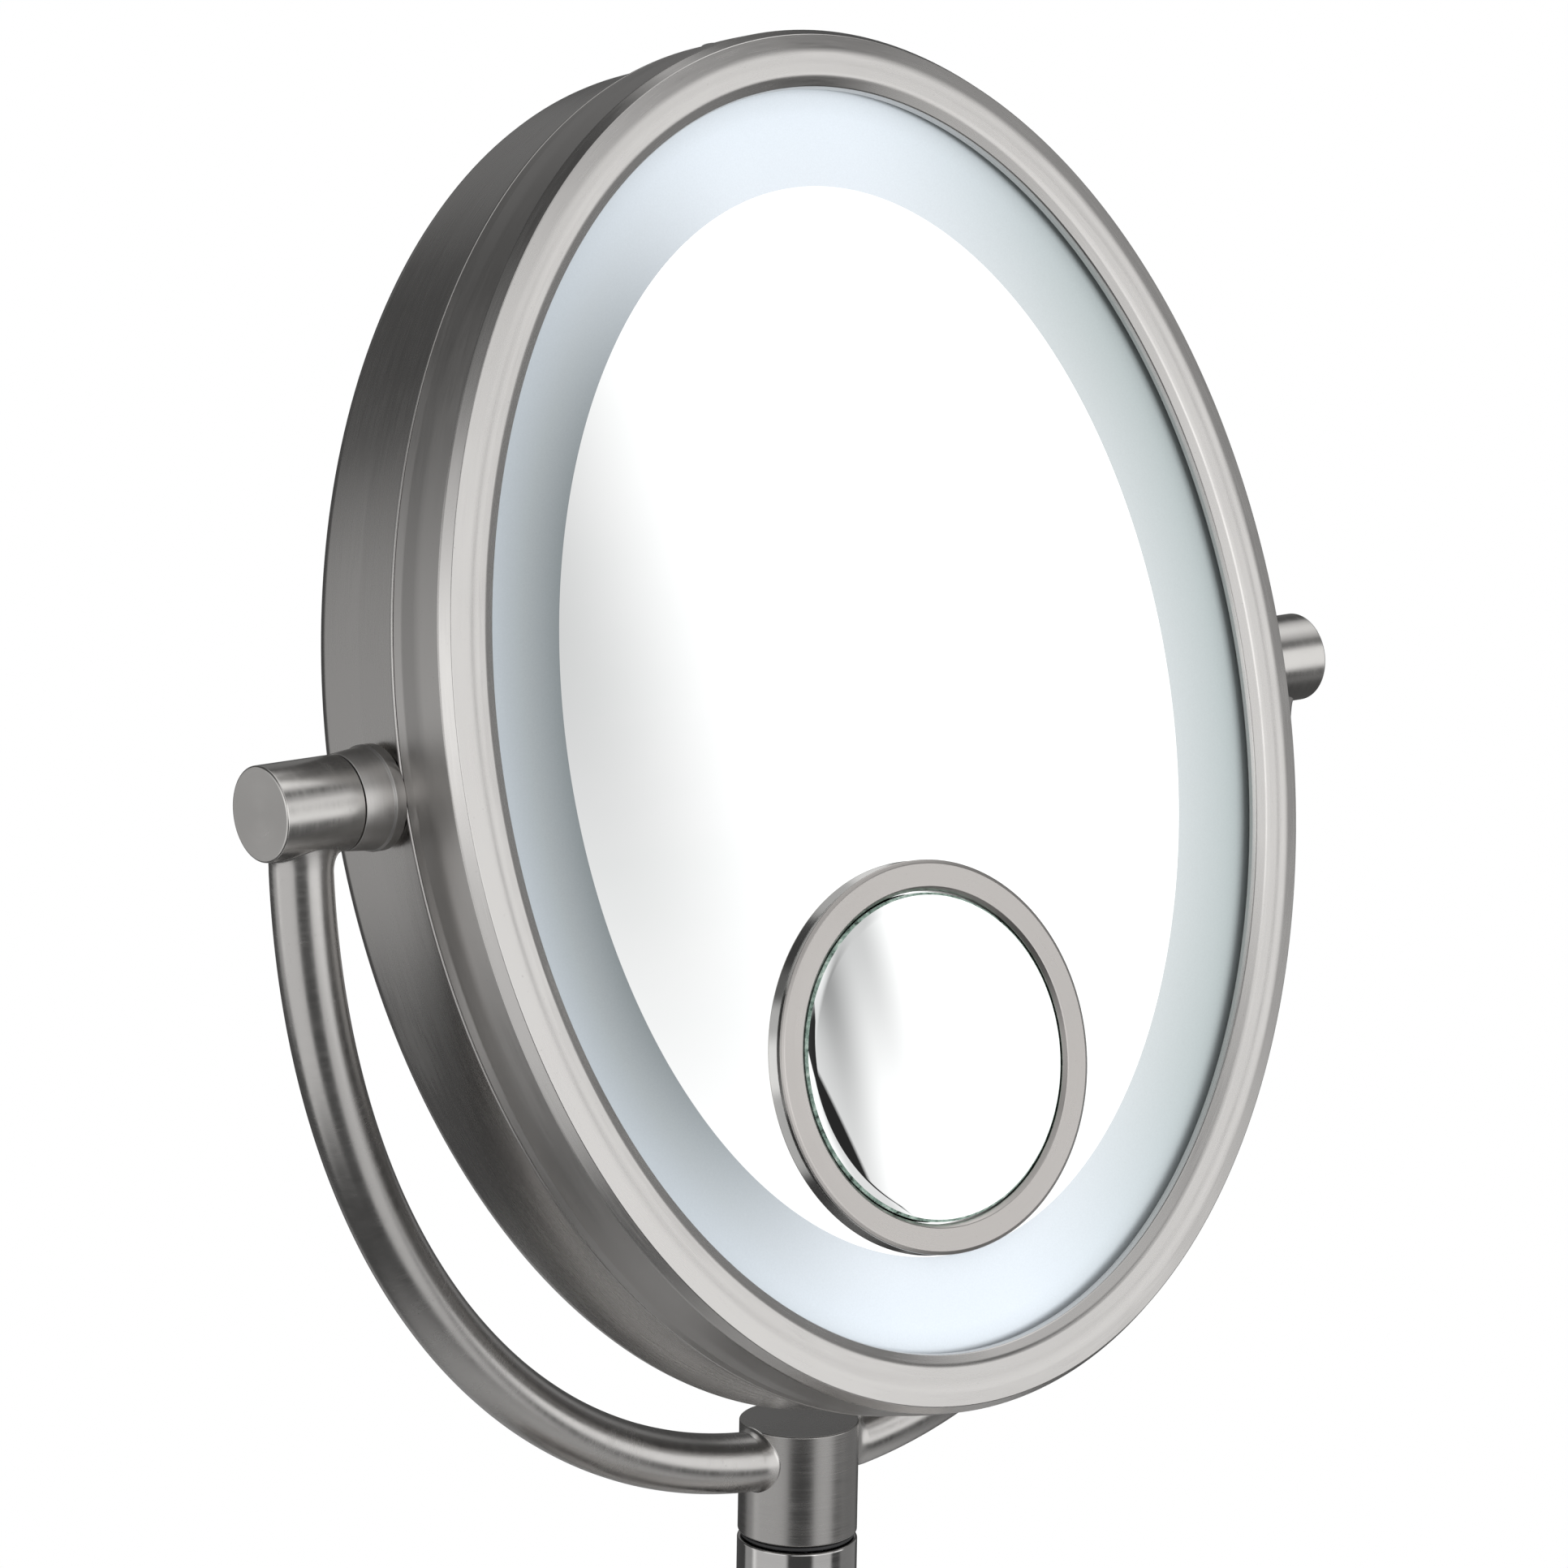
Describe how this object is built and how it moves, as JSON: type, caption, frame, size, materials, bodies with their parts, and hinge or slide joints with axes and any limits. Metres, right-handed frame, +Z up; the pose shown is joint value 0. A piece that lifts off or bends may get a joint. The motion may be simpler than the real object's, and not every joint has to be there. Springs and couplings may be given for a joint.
{
  "type": "lighted vanity mirror",
  "caption": "Table-top vanity mirror: a lit oval glass in a double-shell metal head that tilts in a U yoke that swivels on a post and weighted round base, with a small spot mirror on the glass.",
  "frame": {"origin": "centre of the foot pad's underside, on the surface that the mirror stands on", "axes": "+Z up the post, +X to the right of a person who faces the mirror, and the mirror faces -Y, leaning back 15 degrees"},
  "size_m": [0.2756, 0.1617, 0.4186],
  "materials": {
    "satin_nickel": "satin, brushed along the piece",
    "polished_nickel": "bright",
    "spot_nickel": "satin",
    "zinc_steel": "zinc plated",
    "cast_iron": "raw",
    "mirror": "silvered glass with a frosted band",
    "opal": "translucent",
    "white_paint": "matt white",
    "circuit_board": "solder mask",
    "dark_plastic": "matt",
    "nylon": "matt",
    "rubber": "matt"
  },
  "bodies": {
    "base": {"foot_pad": "rubber", "base_plate": "zinc_steel", "base_weight": "cast_iron", "base_cover": "satin_nickel", "base_washer": "zinc_steel", "base_nut": "zinc_steel", "tie_rod": "zinc_steel", "power_inlet": "dark_plastic", "switch_body": "dark_plastic", "button_ring": "satin_nickel", "post_foot_ring": "satin_nickel", "lower_post": "polished_nickel", "swivel_spigot": "zinc_steel", "swivel_washer": "nylon"},
    "power_button": {"power_button": "satin_nickel"},
    "yoke": {"yoke_hub": "satin_nickel", "swivel_grub_screw": "zinc_steel", "yoke_arm_left": "satin_nickel", "yoke_arm_right": "satin_nickel", "barrel_left": "satin_nickel", "barrel_right": "satin_nickel", "friction_washer_left": "nylon", "friction_washer_right": "nylon"},
    "head": {"front_bezel": "satin_nickel", "glass_gasket": "rubber", "mirror_glass": "mirror", "mirror_backing": "zinc_steel", "diffuser_ring": "opal", "led_board": "circuit_board", "light_tray": "white_paint", "driver_board": "dark_plastic", "rear_drum": "satin_nickel", "rear_cover": "satin_nickel", "trunnion_collar_left": "satin_nickel", "trunnion_collar_right": "satin_nickel", "trunnion_pin_left": "zinc_steel", "trunnion_pin_right": "zinc_steel", "trunnion_nut_left": "zinc_steel", "trunnion_nut_right": "zinc_steel", "case_screw_top": "zinc_steel", "case_screw_bottom": "zinc_steel", "screw_block_top": "zinc_steel", "screw_block_bottom": "zinc_steel", "cover_screw_1": "zinc_steel", "cover_screw_2": "zinc_steel", "cover_screw_3": "zinc_steel", "cover_screw_4": "zinc_steel", "spot_frame": "spot_nickel", "spot_glass": "mirror", "spot_adhesive_pad": "rubber"}
  },
  "joints": [
    {"name": "yoke_swivel", "type": "hinge", "parent": "base", "child": "yoke", "pos_m": [0, 0, 0.101], "axis": [0, 0, 1], "range_deg": [-170, 170]},
    {"name": "head_tilt", "type": "hinge", "parent": "yoke", "child": "head", "pos_m": [0, 0, 0.275], "axis": [1, 0, 0], "range_deg": [-75, 105]},
    {"name": "power_button_press", "type": "slide", "parent": "base", "child": "power_button", "axis": [0, 0, -1], "range_m": [0, 0.0015], "stiffness_N_per_m": 300}
  ]
}
